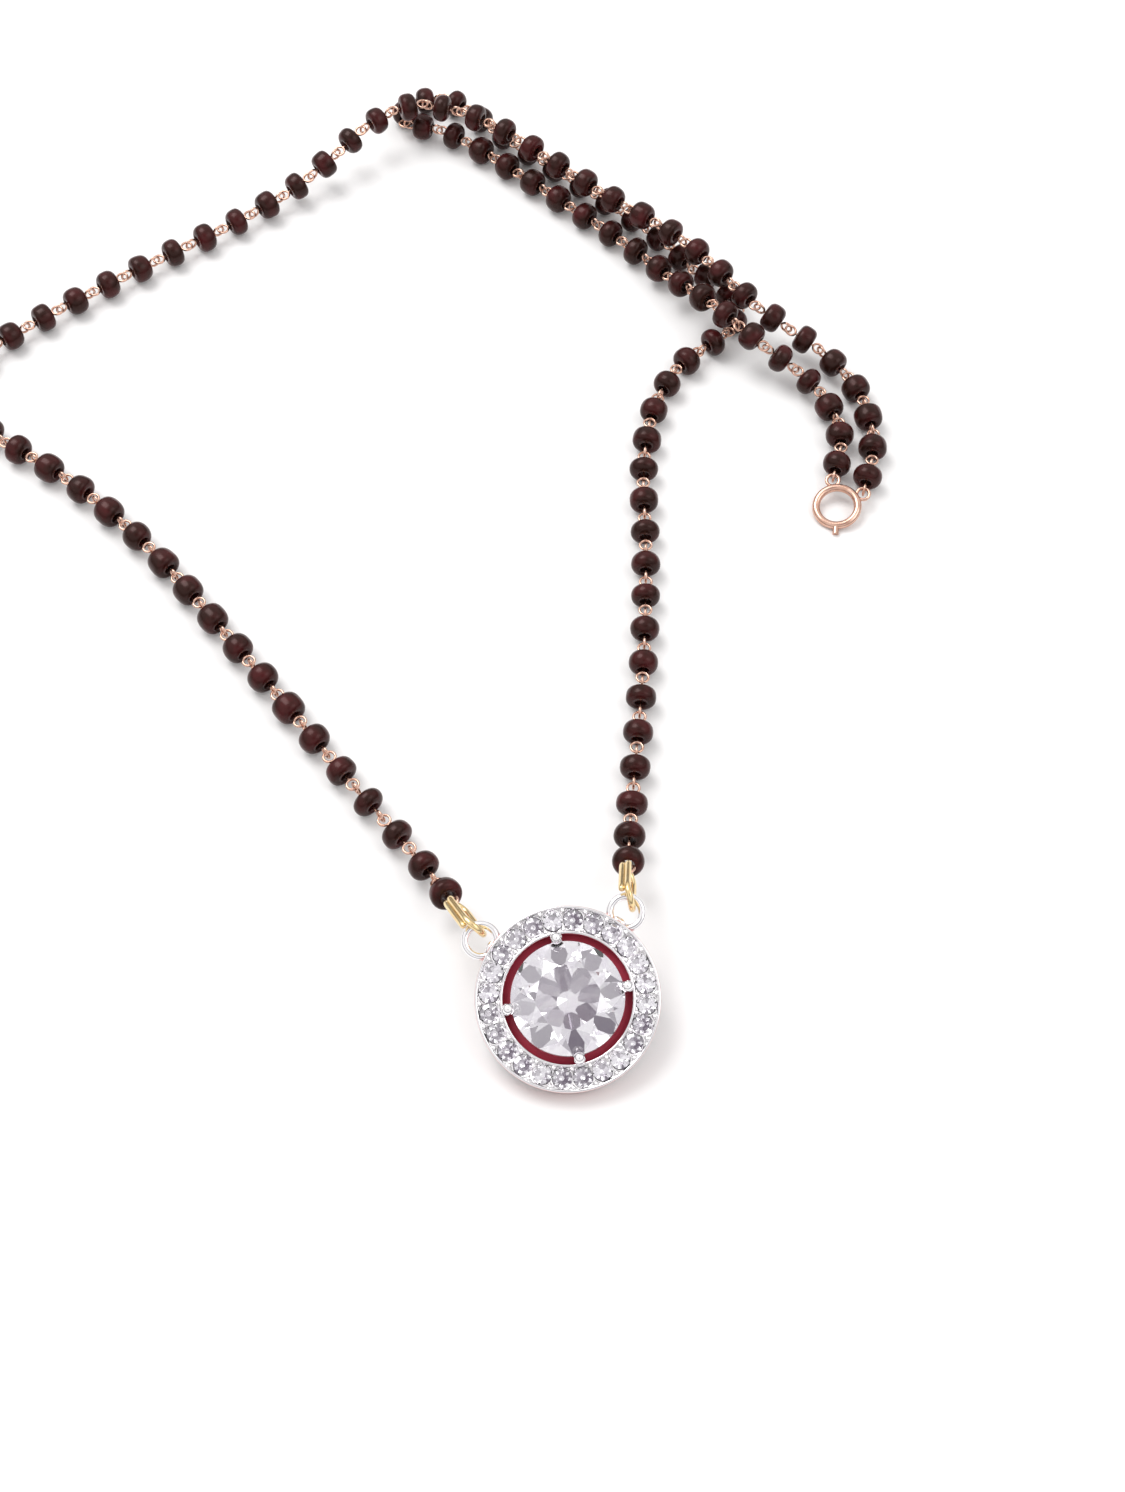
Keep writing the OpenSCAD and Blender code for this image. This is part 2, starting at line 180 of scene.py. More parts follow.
def ball(radius: float, around: int = 24, levels: int = 13) -> Surface:
    """A sphere about its own origin, with small closed caps at its poles.

    Args:
        radius: Its radius.
        around: Points round each level.
        levels: Levels of points from pole to pole.
    """
    tip = math.pi / levels / 4
    level = np.linspace(-math.pi / 2 + tip, math.pi / 2 - tip, levels)
    path = np.stack([0 * level, 0 * level, radius * np.sin(level)], axis=-1)
    return tube(path, radius * np.cos(level), around)


def flat_ring(outer_r: float, inner_r: float, low: float, high: float, edge: float = 0.04 * MM,
              around: int = 128) -> Surface:
    """A flat ring about Z: an outline with cut corners, carried round.

    Args:
        outer_r: Its outer radius.
        inner_r: Its inner radius.
        low: Its lowest level.
        high: Its highest level.
        edge: How far its corners are cut.
        around: Points round it.
    """
    away = np.array([outer_r, outer_r, outer_r - edge, inner_r + edge,
                     inner_r, inner_r, inner_r + edge, outer_r - edge])
    level = np.array([low + edge, high - edge, high, high, high - edge, low + edge, low, low])
    turn = np.linspace(0, TAU, around, endpoint=False)[:, None]
    points = np.stack([away * np.cos(turn), away * np.sin(turn), level + 0 * turn], axis=-1)
    return Surface(points.reshape(-1, 3), grid_faces(around, len(away)))


class Cutter:
    """Cuts a convex form out of a round prism, a plane at a time."""

    def __init__(self, radius: float, low: float, high: float, sides: int) -> None:
        """Starts with the prism.

        Args:
            radius: Distance of the prism's corners from Z.
            low: Its lowest level.
            high: Its highest level.
            sides: How many sides it has.
        """
        self.mesh = bmesh.new()
        turns = [TAU * k / sides for k in range(sides)]
        rims = [[self.mesh.verts.new((radius * math.cos(turn), radius * math.sin(turn), level))
                 for turn in turns] for level in (low, high)]
        self.mesh.faces.new(reversed(rims[0]))
        self.mesh.faces.new(rims[1])
        for k in range(sides):
            after = (k + 1) % sides
            self.mesh.faces.new((rims[0][k], rims[0][after], rims[1][after], rims[1][k]))

    def facets(self, count: int, first_turn: float, slope: float, radius: float,
               level: float) -> None:
        """Cuts facets all round, each through a point at radius and level.

        Args:
            count: How many facets.
            first_turn: Angle of the first, in radians.
            slope: Angle of the facet from level, in radians, negative under the girdle.
            radius: Distance of the point from Z.
            level: Height of the point.
        """
        for k in range(count):
            turn = first_turn + TAU * k / count
            side = Vector((math.cos(turn), math.sin(turn), 0))
            upward = Vector((0, 0, math.copysign(math.cos(slope), slope)))
            self.cut(side * radius + Vector((0, 0, level)), side * abs(math.sin(slope)) + upward)

    def cut(self, point: Vector, normal: Vector) -> None:
        """Takes away what lies beyond one plane and closes the form.

        Args:
            point: A point on the plane.
            normal: The way to what is taken away.
        """
        everything = self.mesh.verts[:] + self.mesh.edges[:] + self.mesh.faces[:]
        bmesh.ops.bisect_plane(self.mesh, geom=everything, dist=1e-8, plane_co=point,
                               plane_no=normal, clear_outer=True)
        open_edges = [edge for edge in self.mesh.edges if edge.is_boundary]
        if open_edges:
            bmesh.ops.contextual_create(self.mesh, geom=open_edges)

    def surface(self) -> Surface:
        """The form as cut so far, with its faces outwards."""
        bmesh.ops.remove_doubles(self.mesh, verts=self.mesh.verts, dist=1e-7)
        bmesh.ops.recalc_face_normals(self.mesh, faces=self.mesh.faces)
        self.mesh.verts.index_update()
        points = np.array([vert.co[:] for vert in self.mesh.verts])
        faces = [tuple(vert.index for vert in face.verts) for face in self.mesh.faces]
        self.mesh.free()
        return Surface(points, faces)


def solids_of(node: str) -> list[Array]:
    """The points of each loose solid in a CAD node, in the order of the node.

    Points at one place get one number, and each then takes the lowest number
    among the triangles it is in, until nothing changes.

    Args:
        node: Name of the CAD node.

    Returns:
        One array of points for each solid.
    """
    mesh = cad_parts[node].data
    points = np.empty(len(mesh.vertices) * 3)
    mesh.vertices.foreach_get("co", points)
    corners = np.empty(len(mesh.loops), int)
    mesh.loops.foreach_get("vertex_index", corners)
    unique, index = np.unique(points.reshape(-1, 3).round(7), axis=0, return_inverse=True)
    triangles = index.reshape(-1)[corners].reshape(-1, 3)
    label = np.arange(len(unique))
    while True:
        lowest = label[triangles].min(axis=1)
        fresh = label.copy()
        np.minimum.at(fresh, triangles.ravel(), np.repeat(lowest, 3))
        fresh = fresh[fresh]
        if (fresh == label).all():
            break
        label = fresh
    names, first = np.unique(label[triangles].ravel(), return_index=True)
    return [unique[label == name] for name in names[np.argsort(first)]]


class Number:
    """A socket of numbers, with arithmetic that adds Math nodes."""

    def __init__(self, tree: bpy.types.NodeTree, socket: bpy.types.NodeSocket) -> None:
        """Wraps a socket of a tree."""
        self.tree = tree
        self.socket = socket

    def _math(self, operation: str, *values: "Number | float") -> "Number":
        """A Math node of the values, in their order."""
        node = self.tree.nodes.new("ShaderNodeMath")
        node.operation = operation
        for socket, value in zip(node.inputs, values):
            if isinstance(value, Number):
                self.tree.links.new(value.socket, socket)
            else:
                socket.default_value = value
        return Number(self.tree, node.outputs[0])

    def __add__(self, other: "Number | float") -> "Number":
        """The sum."""
        return self._math("ADD", self, other)

    __radd__ = __add__

    def __sub__(self, other: "Number | float") -> "Number":
        """The difference."""
        return self._math("SUBTRACT", self, other)

    def __rsub__(self, other: float) -> "Number":
        """The difference, with the number first."""
        return self._math("SUBTRACT", other, self)

    def __mul__(self, other: "Number | float") -> "Number":
        """The product."""
        return self._math("MULTIPLY", self, other)

    __rmul__ = __mul__

    def __truediv__(self, other: "Number | float") -> "Number":
        """The quotient."""
        return self._math("DIVIDE", self, other)

    def __pow__(self, other: float) -> "Number":
        """The power."""
        return self._math("POWER", self, other)

    def clipped(self) -> "Number":
        """The number held between 0 and 1."""
        return self._math("MAXIMUM", self._math("MINIMUM", self, 1.0), 0.0)


class Recipe:
    """The nodes of one material or world."""

    def __init__(self, owner: bpy.types.Material | bpy.types.World) -> None:
        """Starts with an empty tree in the material or world that the nodes make."""
        owner.use_nodes = True
        self.owner = owner
        self.tree = owner.node_tree
        self.tree.nodes.clear()

    def node(self, kind: str, settings: dict[str, object] | None = None,
             inputs: dict[str | int, object] | None = None) -> bpy.types.Node:
        """Adds a node.

        Args:
            kind: The node's type.
            settings: Its own settings, set first.
            inputs: A value, a Number or a socket for each named or numbered input.

        Returns:
            The node.
        """
        node = self.tree.nodes.new(kind)
        for key, value in (settings or {}).items():
            setattr(node, key, value)
        for key, value in (inputs or {}).items():
            if isinstance(value, Number):
                self.tree.links.new(value.socket, node.inputs[key])
            elif isinstance(value, bpy.types.NodeSocket):
                self.tree.links.new(value, node.inputs[key])
            else:
                node.inputs[key].default_value = value
        return node

    def noise(self, size: float, detail: float = 3.0) -> Number:
        """Noise over the object, about 0 to 1.

        Args:
            size: Size of its blots, in metres.
            detail: How many finer layers it has.
        """
        place = self.node("ShaderNodeTexCoord").outputs["Object"]
        noise = self.node("ShaderNodeTexNoise",
                          inputs={"Vector": place, "Scale": 1 / size, "Detail": detail})
        return Number(self.tree, noise.outputs["Fac"])

    def cells(self, size: float) -> Number:
        """A number that is the same all over each of many small cells of a size in metres."""
        place = self.node("ShaderNodeTexCoord").outputs["Object"]
        cell = self.node("ShaderNodeTexVoronoi", inputs={"Vector": place, "Scale": 1 / size})
        parts = self.node("ShaderNodeSeparateColor", inputs={"Color": cell.outputs["Color"]})
        return Number(self.tree, parts.outputs[0])

    def along(self, place: bpy.types.NodeSocket, way: Sequence[float]) -> Number:
        """How far a place is along a way from the origin, as their dot product."""
        dot = self.node("ShaderNodeVectorMath", {"operation": "DOT_PRODUCT"},
                        {0: place, 1: tuple(way)})
        return Number(self.tree, dot.outputs["Value"])

    def about(self, origin: Sequence[float], axis: Sequence[float]) -> tuple[Number, Number]:
        """Distance from an axis, and height along it.

        The distance is the root of the squared length of the place less its
        squared height.

        Args:
            origin: A point on the axis, where the height is 0.
            axis: The axis as a unit vector.
        """
        place = self.node("ShaderNodeTexCoord").outputs["Object"]
        local = self.node("ShaderNodeVectorMath", {"operation": "SUBTRACT"},
                          {0: place, 1: tuple(origin)}).outputs["Vector"]
        height = self.along(local, axis)
        length = self.node("ShaderNodeVectorMath", {"operation": "LENGTH"}, {0: local})
        return (Number(self.tree, length.outputs["Value"]) ** 2 - height * height) ** 0.5, height

    def colour(self, amount: Number, first: "Sequence[float] | bpy.types.NodeSocket",
               second: "Sequence[float] | bpy.types.NodeSocket") -> bpy.types.NodeSocket:
        """A colour between two, by an amount from 0 to 1.

        Args:
            amount: The share of the second colour.
            first: Red, green and blue at 0, or a socket that gives them.
            second: Red, green and blue at 1, or a socket that gives them.
        """
        ends = {name: end if isinstance(end, bpy.types.NodeSocket) else (*end, 1)
                for name, end in (("A", first), ("B", second))}
        mix = self.node("ShaderNodeMix", {"data_type": "RGBA", "clamp_factor": True},
                        {"Factor": amount, **ends})
        return mix.outputs["Result"]

    def bump(self, height: Number, depth: float) -> bpy.types.NodeSocket:
        """A normal bent by a height of 0 to 1, where 1 stands for the depth in metres."""
        bump = self.node("ShaderNodeBump", inputs={"Height": height, "Distance": depth})
        return bump.outputs["Normal"]

    def finish(self, inputs: dict[str, object]) -> bpy.types.Material:
        """Ends the material with its shader, whose sockets get the inputs."""
        shader = self.node("ShaderNodeBsdfPrincipled", inputs=inputs)
        self.node("ShaderNodeOutputMaterial", inputs={"Surface": shader.outputs[0]})
        return self.owner


@dataclass(frozen=True)
class BlackGlass:
    """Pressed black glass, dark wine red in blots, with a soft polish."""

    body: Triple = (0.018, 0.006, 0.004)
    wine: Triple = (0.06, 0.008, 0.009)
    blot: float = 1.7 * MM
    blot_start: float = 0.42
    blot_gain: float = 3
    smooth: float = 0.16
    worn: float = 0.34
    ripple: float = 0.9 * MM
    ripple_depth: float = 0.02 * MM
    index: float = 1.34
    edge: float = 0.13
    edge_roughness: float = 0.35
    edge_tone: tuple[float, float, float, float] = (0.5, 0.06, 0.07, 1)
    gloss_tone: tuple[float, float, float, float] = (1.0, 0.7, 0.68, 1)

    def material(self) -> bpy.types.Material:
        """Makes the material."""
        recipe = Recipe(bpy.data.materials.new("black_glass"))
        blots = (recipe.noise(self.blot) - self.blot_start) * self.blot_gain
        return recipe.finish({
            "Base Color": recipe.colour(blots, self.body, self.wine),
            "Roughness": self.smooth + (self.worn - self.smooth) * recipe.noise(self.ripple),
            "IOR": self.index,
            "Specular Tint": self.gloss_tone,
            "Sheen Weight": self.edge,
            "Sheen Roughness": self.edge_roughness,
            "Sheen Tint": self.edge_tone,
            "Normal": recipe.bump(recipe.noise(self.ripple, 1.0), self.ripple_depth),
        })


@dataclass(frozen=True)
class Metal:
    """Polished metal with fine wear in its gloss and a second tone in its colour."""

    name: str
    tone: Triple
    second_tone: Triple
    gloss: float
    worn_gloss: float
    blot: float = 0.8 * MM
    blot_start: float = 0.35
    blot_gain: float = 3
    scratch: float = 0.12 * MM
    scratch_detail: float = 4
    scratch_depth: float = 0.002 * MM
    # Index of the non-metal part of the surface; on the pendant that part is the painted wine red
    # shade in the gap.
    nonmetal_index: float = 1.2

    def colour(self, recipe: Recipe) -> bpy.types.NodeSocket:
        """The metal's colour, in blots of its two tones."""
        blots = (recipe.noise(self.blot) - self.blot_start) * self.blot_gain
        return recipe.colour(blots, self.tone, self.second_tone)

    def bare(self, recipe: Recipe) -> "Number | float":
        """How much of the surface is bare metal."""
        return 1.0

    def material(self) -> bpy.types.Material:
        """Makes the material."""
        recipe = Recipe(bpy.data.materials.new(self.name))
        wear = recipe.noise(self.scratch, self.scratch_detail)
        return recipe.finish({
            "Base Color": self.colour(recipe),
            "Metallic": self.bare(recipe),
            "Roughness": self.gloss + (self.worn_gloss - self.gloss) * wear,
            "Normal": recipe.bump(wear, self.scratch_depth),
            "IOR": self.nonmetal_index,
        })


@dataclass(frozen=True, kw_only=True)
class SettingMetal(Metal):
    """The pendant's metal: a painted rosy reflection on the halo's outer wall, and inside its gap a
    painted wine red, not metal, for shade and for the dark red seen through the gap.
    """

    origin: tuple[float, ...]
    axis: tuple[float, ...]
    outer_r: float
    gap_r: float
    gap_top: float = 1.3 * MM
    blend: float = 0.05 * MM
    # Painted reflection: a rosy tint in a thin band round the halo's outer wall.
    painted_rose_reflection: Triple = (0.8, 0.5, 0.48)
    # Painted shade and painted dark red seen through the gap: the non-metal colour inside the gap.
    wine: Triple = (0.56, 0.075, 0.12)

    def painted_wine_mask(self, recipe: Recipe) -> Number:
        """1 on the painted wine red: inside the gap, over the halo's back and under its rim."""
        away, height = recipe.about(self.origin, self.axis)
        inside = ((self.gap_r + self.blend - away) / self.blend).clipped()
        under = ((self.gap_top - height) / self.blend).clipped()
        over = (height / self.blend).clipped()
        return inside * under * over

    def colour(self, recipe: Recipe) -> bpy.types.NodeSocket:
        """The metal's tones, a painted rosy reflection in a thin cylinder at the outer wall, and
        the painted wine red in the gap.
        """
        away = recipe.about(self.origin, self.axis)[0]
        plain = super().colour(recipe)
        # Painted reflection: the rosy band where the outer wall stands.
        past_wall = recipe.colour((away - self.outer_r - self.blend) / self.blend, self.painted_rose_reflection, plain)
        wall = recipe.colour((away - self.outer_r + self.blend) / self.blend, plain, past_wall)
        # Painted shade and painted dark red seen through the gap, put on inside it as a non-metal.
        return recipe.colour(self.painted_wine_mask(recipe), wall, self.wine)

    def bare(self, recipe: Recipe) -> Number:
        """How much of the surface is bare metal: all but the painted wine red in the gap."""
        return 1 - self.painted_wine_mask(recipe)


@dataclass(frozen=True)
class ClearStone:
    """Cut and polished clear stone, with a high index of refraction."""

    name: str
    tone: Triple = (0.98, 0.96, 0.99)
    shade: Triple = (0.86, 0.81, 0.89)
    cell: float = 0.6 * MM
    polish: float = 0.01
    haze: float = 0.03
    index: float = 2.15

    def material(self) -> bpy.types.Material:
        """Makes the material."""
        recipe = Recipe(bpy.data.materials.new(self.name))
        return recipe.finish({
            "Base Color": recipe.colour(recipe.cells(self.cell), self.tone, self.shade),
            "Roughness": self.polish + self.haze * recipe.noise(self.cell),
            "IOR": self.index,
            "Transmission Weight": 1.0,
        })


@dataclass(frozen=True)
class PaleFloor:
    """A smooth pale surface with a hardly seen mottle."""

    tone: Triple = (0.9, 0.89, 0.885)
    shade: Triple = (0.88, 0.87, 0.865)
    blot: float = 40 * MM
    smooth: float = 0.7
    worn: float = 0.8

    def material(self) -> bpy.types.Material:
        """Makes the material."""
        recipe = Recipe(bpy.data.materials.new("pale_floor"))
        return recipe.finish({
            "Base Color": recipe.colour(recipe.noise(self.blot), self.tone, self.shade),
            "Roughness": self.smooth + (self.worn - self.smooth) * recipe.noise(self.blot),
        })


def add_piece(name: str, surface: Surface, material: bpy.types.Material, slot: Slot,
              smooth: bool = True) -> bpy.types.Object:
    """Makes an object of a surface, at the origin, that rides with the part.

    Args:
        name: The piece's plain name.
        surface: Its points and faces.
        material: Its finish.
        slot: The record's material slot that it stands for; not used.
        smooth: Whether its faces blend into each other.

    Returns:
        The object.
    """
    mesh = bpy.data.meshes.new(name)
    mesh.from_pydata(surface.points.tolist(), [], surface.faces)
    mesh.polygons.foreach_set("use_smooth", [smooth] * len(mesh.polygons))
    mesh.materials.append(material)
    mesh.update()
    piece = bpy.data.objects.new(name, mesh)
    bpy.context.scene.collection.objects.link(piece)
    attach(piece, "root")
    log.info("%s: %d faces", name, len(surface.faces))
    return piece


@dataclass
class Beads:
    """The glass beads of one strand, each one a little different."""

    side: Side
    seed: int
    bead_d: float = 2.65 * MM
    bead_len: float = 1.82 * MM
    hole_d: float = 1.06 * MM
    around: int = 28
    outer_points: int = 15
    wall_points: int = 3
    drawn_out: int = 16
    flat_first: int = 5
    usual_share: tuple[float, float] = (0.8, 1.05)
    flat_share: tuple[float, float] = (0.76, 0.9)
    long_share: tuple[float, float] = (0.98, 1.16)
    short_share: tuple[float, float] = (0.76, 0.96)
    least_width: float = 0.95
    most_taper: float = 0.07
    powers: tuple[float, float] = (2.1, 2.9)
    most_lobe: float = 0.025
    most_slant: float = 0.05

    def places(self) -> tuple[Array, Array]:
        """Middles and axes of the strand's beads, from their solids.

        The axis is the direction in which a bead's points spread unlike in the
        other two.

        Returns:
            The middles, and the axes as unit vectors.
        """
        middles, axes = [], []
        for points in solids_of(f"beads_{self.side.value}"):
            middle = (points.min(axis=0) + points.max(axis=0)) / 2
            spread, ways = np.linalg.eigh(np.cov((points - middle).T))
            lone = 0 if spread[1] - spread[0] > spread[2] - spread[1] else 2
            middles.append(middle)
            axes.append(ways[:, lone])
        return np.array(middles), np.array(axes)

    def length_shares(self, count: int) -> tuple[Array, Array]:
        """The least and greatest share of the usual length, bead by bead from the pendant on.

        The left strand starts with flat beads, and then has long ones as far as
        it is drawn out; the right strand has short ones there.

        Args:
            count: How many beads the strand has.
        """
        shares = np.tile(self.usual_share, (count, 1))
        if self.side is Side.LEFT:
            shares[:self.drawn_out] = self.long_share
            shares[:self.flat_first] = self.flat_share
        else:
            shares[:self.drawn_out] = self.short_share
        return shares[:, 0], shares[:, 1]

    def profile(self, half: Array, outer_r: Array, taper: Array,
                power: Array) -> tuple[Array, Array]:
        """The closed outline of each bead's wall, as distances along and from its axis.

        The outside is a superellipse, x = -a sgn(cos t) |cos t|^(2/p) and
        r = h + (R - h) (sin t)^(2/p), with R wider towards one end by the taper,
        and the rest is the straight wall of the hole at r = h.

        Args:
            half: Half the bead's length, one for each bead.
            outer_r: Its greatest radius R.
            taper: How much R grows from one end to the other, as a share.
            power: The superellipse's power p.

        Returns:
            Distances along and from the axis, with a row for each bead.
        """
        t = np.linspace(0, math.pi, self.outer_points)
        root = 2 / power[:, None]
        along = -np.sign(np.cos(t)) * np.abs(np.cos(t)) ** root
        hole_r = self.hole_d / 2
        swell = np.maximum(np.sin(t), 0) ** root
        wide = outer_r[:, None] * (1 + taper[:, None] * along)
        away = hole_r + (wide - hole_r) * swell
        wall = np.linspace(1, -1, self.wall_points + 2)[1:-1]
        along = np.concatenate([along, np.tile(wall, (len(half), 1))], axis=1) * half[:, None]
        away = np.concatenate([away, np.full((len(half), len(wall)), hole_r)], axis=1)
        return along, away

    def surface(self) -> Surface:
        """All beads of the strand as one surface, each a profile turned about its axis."""
        middles, axes = self.places()
        count = len(middles)
        draw = np.random.default_rng(self.seed)
        low, high = self.length_shares(count)
        half = self.bead_len / 2 * draw.uniform(low, high)
        outer_r = self.bead_d / 2 * draw.uniform(self.least_width, 1.0, count)
        taper = draw.uniform(-self.most_taper, self.most_taper, count)
        power = draw.uniform(*self.powers, count)
        along, away = self.profile(half, outer_r, taper, power)
        turn = np.linspace(0, TAU, self.around, endpoint=False)
        one_each = (count, 1)
        lobe = draw.uniform(0, self.most_lobe, one_each)
        lobe = 1 + lobe * np.cos(2 * turn + draw.uniform(0, TAU, one_each))
        slant = draw.uniform(-self.most_slant, self.most_slant, one_each)
        slant = slant * np.cos(turn + draw.uniform(0, TAU, one_each))
        level = np.cross([0.0, 0.0, 1.0], axes)
        level /= np.linalg.norm(level, axis=1, keepdims=True)
        upright = np.cross(axes, level)
        hole_r = self.hole_d / 2
        out = hole_r + (away[:, :, None] - hole_r) * (lobe[:, None, :] - self.most_lobe / 2)
        length = along[:, :, None] + slant[:, None, :] * (away[:, :, None] - hole_r)
        points = (middles[:, None, None]
                  + length[..., None] * axes[:, None, None]
                  + (out * np.cos(turn))[..., None] * level[:, None, None]
                  + (out * np.sin(turn))[..., None] * upright[:, None, None])
        rows = along.shape[1]
        starts = np.arange(count) * rows * self.around
        faces = np.array(grid_faces(rows, self.around)) + starts[:, None, None]
        faces = [tuple(face) for face in faces.reshape(-1, 4).tolist()]
        return Surface(points.reshape(-1, 3), faces)

    def build(self, glass: bpy.types.Material) -> None:
        """Adds the strand's beads in place of their solids."""
        piece = add_piece(f"glass_beads_{self.side.value}", self.surface(), glass, Slot.BLACK_GLASS)
        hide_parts(f"beads_{self.side.value}")


@dataclass
class Pendant:
    """The halo pendant, in its own frame: Z through its stone, Y towards the chain."""

    turn: float = math.radians(11)
    halo_d: float = 14.2 * MM
    hole_d: float = 9.9 * MM
    halo_h: float = 1.6 * MM
    wall: float = 0.24 * MM
    rim_round: float = 0.1 * MM
    small_count: int = 24
    small_d: float = 1.53 * MM
    small_tip: float = 0.13
    small_table_share: float = 0.58
    small_crown: float = 0.3
    small_depth: float = 0.86
    small_girdle_h: float = 0.04 * MM
    small_star_slope: float = 0.7
    small_star_place: float = 0.62
    small_seed: int = 5
    steps_per_stone: int = 20
    seat_drop: float = 0.15 * MM
    seat_gap: float = 0.06 * MM
    bed_drop: float = 0.02 * MM
    grain_d: float = 0.45 * MM
    grain_clear: float = 0.6
    stone_d: float = 8.7 * MM
    girdle_z: float = 1.7 * MM
    girdle_h: float = 0.2 * MM
    crown_h_share: float = 0.15
    crown_run: float = 0.43
    pavilion_share: float = 0.43
    star_slope: float = 0.66
    star_place: float = 0.54
    upper_slope: float = 1.17
    lower_slope: float = 1.03
    girdle_place: float = 0.995
    prong_d: float = 0.84 * MM
    tip_d: float = 0.94 * MM
    tip_rise: float = 0.6 * MM
    tip_sink: float = 0.04 * MM
    prong_lap: float = 0.21 * MM
    prong_thinning: float = 0.18
    solder: float = 0.08 * MM
    plate_hole_d: float = 7.0 * MM
    plate_z: float = 0.15 * MM
    plate_h: float = 0.35 * MM
    basket_wire_d: float = 0.6 * MM
    strut_wire: float = 0.9
    strut_top: float = 0.3 * MM
    gallery_wire: float = 0.75
    gallery_drop: float = 0.55 * MM
    foot_ring_d: float = 2.2 * MM
    foot_rise: float = 0.05 * MM
    loop_d: float = 3.1 * MM
    loop_wire_d: float = 0.62 * MM
    loop_angle: float = math.radians(45)
    blob_share: float = 1.25
    blob_stretch: Triple = (0.9, 1.7, 1.0)
    blob_clear: float = 0.1
    axes: Array = field(init=False)
    origin: Array = field(init=False)

    def __post_init__(self) -> None:
        """Finds the pendant's own frame from the plane through its small stones' tables."""
        stones = solids_of("halo_stones")
        middles = np.array([points.mean(axis=0) for points in stones])
        centre = middles.mean(axis=0)
        normal = np.linalg.svd(middles - centre)[2][2]
        normal *= np.sign(normal[2])
        level = np.array([1.0, 0.0, 0.0])
        upward = np.cross(normal, level)
        across = math.cos(self.turn) * level + math.sin(self.turn) * upward
        self.axes = np.stack([across, np.cross(normal, across), normal])
        tables = np.array([((points - centre) @ normal).max() for points in stones]).mean()
        table_z = self.halo_h - self.seat_drop + self.small_crown * self.small_d / 2
        self.origin = centre + normal * (tables - table_z)

    @property
    def small_place_r(self) -> float:
        """Radius of the circle on which the small stones sit."""
        return (self.halo_d + self.hole_d) / 4

    def small_turns(self, shift: float = 0.0) -> Array:
        """Angles of the small stones, each moved on by a share of a step."""
        return (np.arange(self.small_count) + shift) * TAU / self.small_count

    def bed_height(self, x: Array, y: Array) -> Array:
        """Height of the metal between the halo's walls, with a conical seat under each stone.

        The height is the lower of the flat bed and of a cone that runs along
        the under side of the nearest stone, with a small gap.

        Args:
            x: Places across the pendant.
            y: Places along it, towards the chain.
        """
        small_r = self.small_d / 2
        seat_z = self.halo_h - self.seat_drop
        away = np.full(x.shape, np.inf)
        for turn in self.small_turns():
            away = np.minimum(away, np.hypot(x - self.small_place_r * math.cos(turn),
                                             y - self.small_place_r * math.sin(turn)))
        cone = seat_z - self.seat_gap - self.small_depth * (small_r - away)
        return np.minimum(cone, seat_z - self.bed_drop)

    def halo(self) -> Surface:
        """The halo, its outline carried round the pendant.

        The outline goes up the outer wall, over its round rim, down to the bed,
        across it, up and over the inner wall and back along the flat under side.
        """
        outer, inner = self.halo_d / 2, self.hole_d / 2
        rim = np.linspace(0, math.pi / 2, 5)
        corner = self.rim_round * np.stack([np.cos(rim), np.sin(rim)], axis=-1)
        mirrored = corner[::-1] * [-1, 1]
        top = self.halo_h - self.rim_round
        wall_in = outer - self.wall
        bed = np.linspace(wall_in, inner + self.wall, 25)
        outline = np.concatenate([
            [[outer, 0.0], [outer, top / 2]],
            corner + [outer - self.rim_round, top],
            mirrored + [wall_in + self.rim_round, top],
            np.stack([bed, np.full(len(bed), np.nan)], axis=-1),
            corner + [inner + self.wall - self.rim_round, top],
            mirrored + [inner + self.rim_round, top],
            [[inner, top / 2], [inner, 0.0], [(inner + outer) / 2, 0.0]]])
        steps = self.small_count * self.steps_per_stone
        turn = np.linspace(0, TAU, steps, endpoint=False)[:, None]
        x = outline[None, :, 0] * np.cos(turn)
        y = outline[None, :, 0] * np.sin(turn)
        z = np.broadcast_to(outline[None, :, 1], x.shape)
        z = np.where(np.isnan(z), self.bed_height(x, y), z)
        points = np.stack([x, y, z], axis=-1).reshape(-1, 3)
        return Surface(points, grid_faces(steps, len(outline)))

    def grains(self) -> list[Surface]:
        """The grains that hold the small stones, two between each pair."""
        grain_r = self.grain_d / 2
        reach = (self.halo_d - self.hole_d) / 4 - self.wall - grain_r * self.grain_clear
        level = self.halo_h - self.seat_drop
        grain = ball(grain_r, 12, 7)
        return [grain.moved(away * math.cos(turn), away * math.sin(turn), level)
                for turn in self.small_turns(0.5)
                for away in (self.small_place_r - reach, self.small_place_r + reach)]

    def prongs(self) -> list[Surface]:
        """Four prongs that rise inside the halo and bend over the stone's edge."""
        prong_r, tip_r = self.prong_d / 2, self.tip_d / 2
        place = self.hole_d / 2 - prong_r + self.solder
        lean = self.stone_d / 2 + tip_r - self.prong_lap
        height = self.girdle_z + self.tip_rise
        t = np.linspace(0, 1, 15)
        bend = t ** 3
        path = np.stack([place + (lean - place) * bend, 0 * t, height * t], axis=-1)
        shank = tube(path, prong_r * (1 - self.prong_thinning * bend))
        one = joined([shank, ball(tip_r).moved(lean, 0, height - self.tip_sink)])
        return [one.turned(TAU * k / 4) for k in range(4)]

